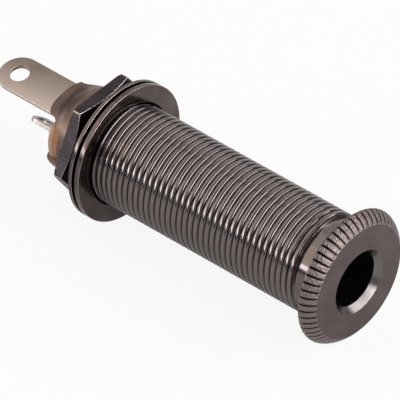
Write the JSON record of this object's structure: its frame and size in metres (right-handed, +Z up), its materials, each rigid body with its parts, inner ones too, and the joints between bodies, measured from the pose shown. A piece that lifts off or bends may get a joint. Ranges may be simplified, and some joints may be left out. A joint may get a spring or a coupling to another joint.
{
  "type": "panel jack socket",
  "caption": "Long threaded bushing jack socket with a knurled round flange, hex nut and washers, crimped insulator stack and solder lugs for a three-conductor plug.",
  "frame": {"origin": "on the bushing's axis, in the plane of the flange's seat", "axes": "+X along the bushing's axis out of the plug entry, +Z up as the jack lies on a table"},
  "size_m": [0.0515, 0.0166, 0.0165],
  "materials": {
    "bushing": "dark nickel plate, turned",
    "nut": "nickel plate",
    "washers": "nickel plate",
    "sleeve_lug": "nickel plate, rolled strip",
    "small_lugs": "tinned strip",
    "leaves": "nickel silver strip",
    "wafers": "phenolic paper board",
    "rear_board": "phenolic paper board",
    "liner": "rolled insulating sheet"
  },
  "bodies": {
    "jack": {"barrel": "bushing", "insulating_liner": "liner", "sleeve_terminal": "sleeve_lug", "tip_terminal": "small_lugs", "ring_terminal": "small_lugs", "front_wafer": "wafers", "middle_wafer": "wafers", "rear_wafer": "rear_board"},
    "washers": {"front_washer": "washers", "lock_washer": "washers", "rear_washer": "washers"},
    "nut": {"hex_nut": "nut"},
    "tip_leaf": {"tip_spring": "leaves"},
    "ring_leaf": {"ring_spring": "leaves"}
  },
  "joints": [
    {"name": "nut_travel", "type": "slide", "parent": "jack", "child": "washers", "axis": [1, 0, 0], "range_m": [-0.0035, 0.031]},
    {"name": "nut_turn", "type": "hinge", "parent": "washers", "child": "nut", "pos_m": [-0.0339, 0, 0], "axis": [1, 0, 0], "range_deg": [-1587.41, 14059.85]},
    {"name": "tip_lift", "type": "hinge", "parent": "jack", "child": "tip_leaf", "pos_m": [-0.0342, -0.00098, -0.00171], "axis": [0, 0.866, -0.5], "range_deg": [0, 3.54], "stiffness_Nm_per_rad": 0.2},
    {"name": "ring_lift", "type": "hinge", "parent": "jack", "child": "ring_leaf", "pos_m": [-0.0342, 0.00194, -0.00034], "axis": [0, 0.1736, 0.9848], "range_deg": [0, 2.15], "stiffness_Nm_per_rad": 0.5}
  ],
  "couplings": [
    {"joint": "nut_turn", "follows": "nut_travel", "rad_per_m": 7915.8}
  ]
}
